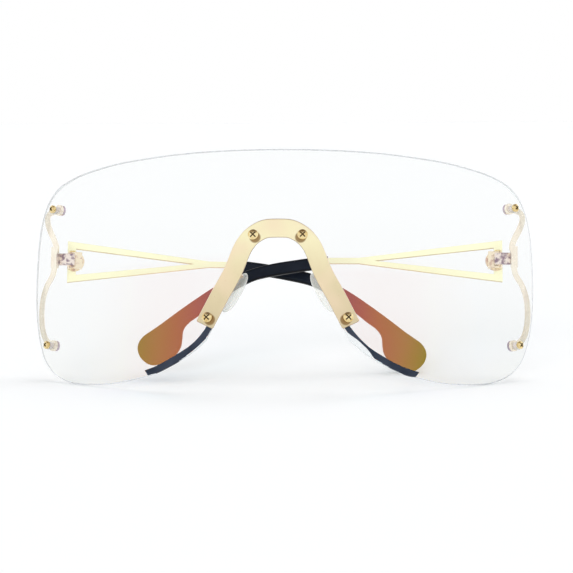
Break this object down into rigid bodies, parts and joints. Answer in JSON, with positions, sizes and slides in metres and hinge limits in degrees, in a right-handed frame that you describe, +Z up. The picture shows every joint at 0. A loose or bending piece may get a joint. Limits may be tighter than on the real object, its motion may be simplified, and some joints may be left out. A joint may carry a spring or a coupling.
{
  "type": "shield sunglasses",
  "caption": "One-piece bent clear lens with a screwed-on arched nose strip, side brackets, soft nose pads and temples that fold one behind the other.",
  "frame": {"origin": "on the surface that the folded glasses stand on, under the middle of their bounding box", "axes": "+X to the right seen from the front, -Y the way the lens faces, +Z up; the folded glasses lean back on the lens's two lobes and the left temple's tip"},
  "size_m": [0.1516, 0.0538, 0.0699],
  "materials": {
    "lens": "clear, with a faint mirror coating",
    "clear_plastic": "clear",
    "soft_pad": "clear soft moulding",
    "pale_gold": "satin pale gold plating",
    "rose_gold": "satin pink gold plating",
    "yellow_gold": "bright yellow gold plating",
    "brass": "polished",
    "black_tip": "satin black"
  },
  "bodies": {
    "frame": {"lens": "lens", "nose_strip": "pale_gold", "strip_screws": "brass", "strip_nuts": "brass", "lens_sleeves": "clear_plastic", "side_screws": "brass", "side_nuts": "brass", "left_bracket": "rose_gold", "right_bracket": "rose_gold", "left_bracket_leaf": "rose_gold", "right_bracket_leaf": "rose_gold", "left_pad_arm": "pale_gold", "right_pad_arm": "pale_gold", "left_pad_screw": "brass", "right_pad_screw": "brass"},
    "left_temple": {"left_temple_leaf": "yellow_gold", "left_temple_arm": "yellow_gold", "left_temple_tip": "black_tip", "left_hinge_screw": "brass"},
    "right_temple": {"right_temple_leaf": "yellow_gold", "right_temple_arm": "yellow_gold", "right_temple_tip": "black_tip", "right_hinge_screw": "brass"},
    "left_pad": {"left_nose_pad": "soft_pad"},
    "right_pad": {"right_nose_pad": "soft_pad"}
  },
  "joints": [
    {"name": "left_temple_fold", "type": "hinge", "parent": "frame", "child": "left_temple", "pos_m": [-0.0655, 0.01607, 0.03489], "axis": [0, 0.2454, 0.9694], "range_deg": [0, 87.5]},
    {"name": "right_temple_fold", "type": "hinge", "parent": "frame", "child": "right_temple", "pos_m": [0.0655, 0.01607, 0.03489], "axis": [0, -0.2454, -0.9694], "range_deg": [0, 87.5]},
    {"name": "left_pad_rock", "type": "hinge", "parent": "frame", "child": "left_pad", "pos_m": [-0.01493, -0.0172, 0.02946], "axis": [-0.433, 0.9009, 0.0298], "range_deg": [-5, 5]},
    {"name": "right_pad_rock", "type": "hinge", "parent": "frame", "child": "right_pad", "pos_m": [0.01493, -0.0172, 0.02946], "axis": [0.433, 0.9009, 0.0298], "range_deg": [-5, 5]}
  ],
  "couplings": [
    {"joint": "right_temple_fold", "follows": "left_temple_fold", "ratio": 1}
  ]
}
